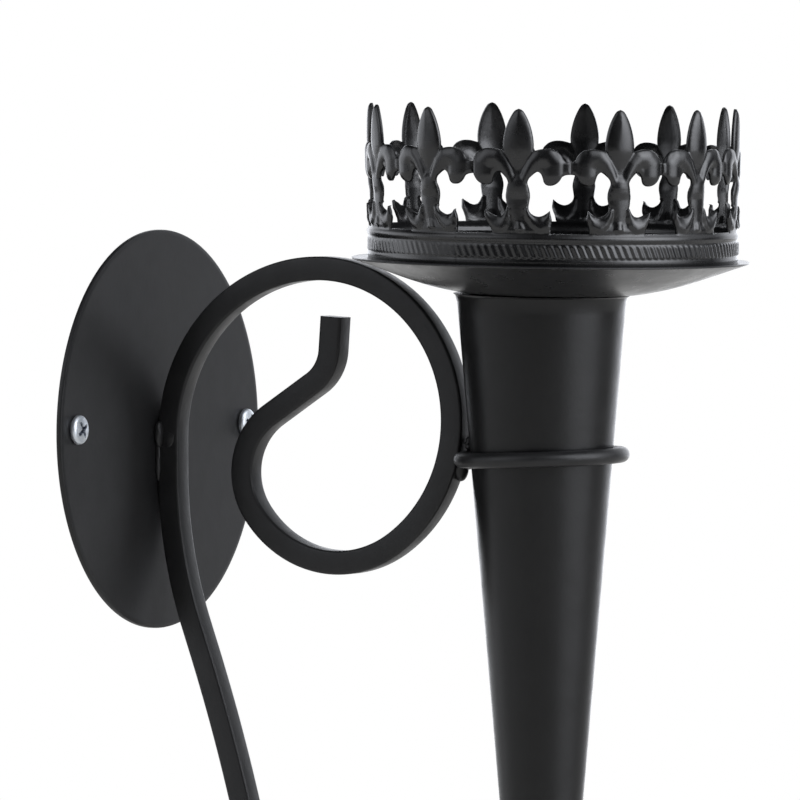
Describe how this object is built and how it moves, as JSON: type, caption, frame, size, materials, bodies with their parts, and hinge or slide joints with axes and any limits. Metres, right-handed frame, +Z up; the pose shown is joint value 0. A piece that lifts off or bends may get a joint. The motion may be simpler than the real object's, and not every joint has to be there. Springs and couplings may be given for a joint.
{
  "type": "wall sconce candle holder",
  "caption": "Torch-shaped wall sconce: a pierced fleur-de-lis gallery and drip pan on a tapered cone, held by a ring on a scrolled bar and round wall plate.",
  "frame": {"origin": "middle of the wall plate's back face, on the wall plane", "axes": "+Z up, +Y into the wall, the sconce reaches out along -Y, the scroll lies in the plane X = 0"},
  "size_m": [0.105, 0.17, 0.2597],
  "materials": {
    "wall_plate": "satin black coating on sheet steel",
    "wall_screws": "bright bluish zinc plating",
    "scroll_bar": "satin black coating on square bar",
    "holder_ring": "satin black coating on round wire",
    "torch_cone": "satin black coating, smooth",
    "drip_pan": "satin black coating",
    "gallery_strip": "satin black coating, worn at the seam"
  },
  "bodies": {
    "bracket": {"wall_plate": "wall_plate", "wall_screw_left": "wall_screws", "wall_screw_right": "wall_screws", "scroll_bar": "scroll_bar", "holder_ring": "holder_ring"},
    "torch": {"torch_cone": "torch_cone", "drip_pan": "drip_pan", "gallery_strip": "gallery_strip"}
  },
  "joints": [
    {"name": "torch_lift", "type": "slide", "parent": "bracket", "child": "torch", "axis": [0, 0, 1], "range_m": [0, 0.19]}
  ]
}
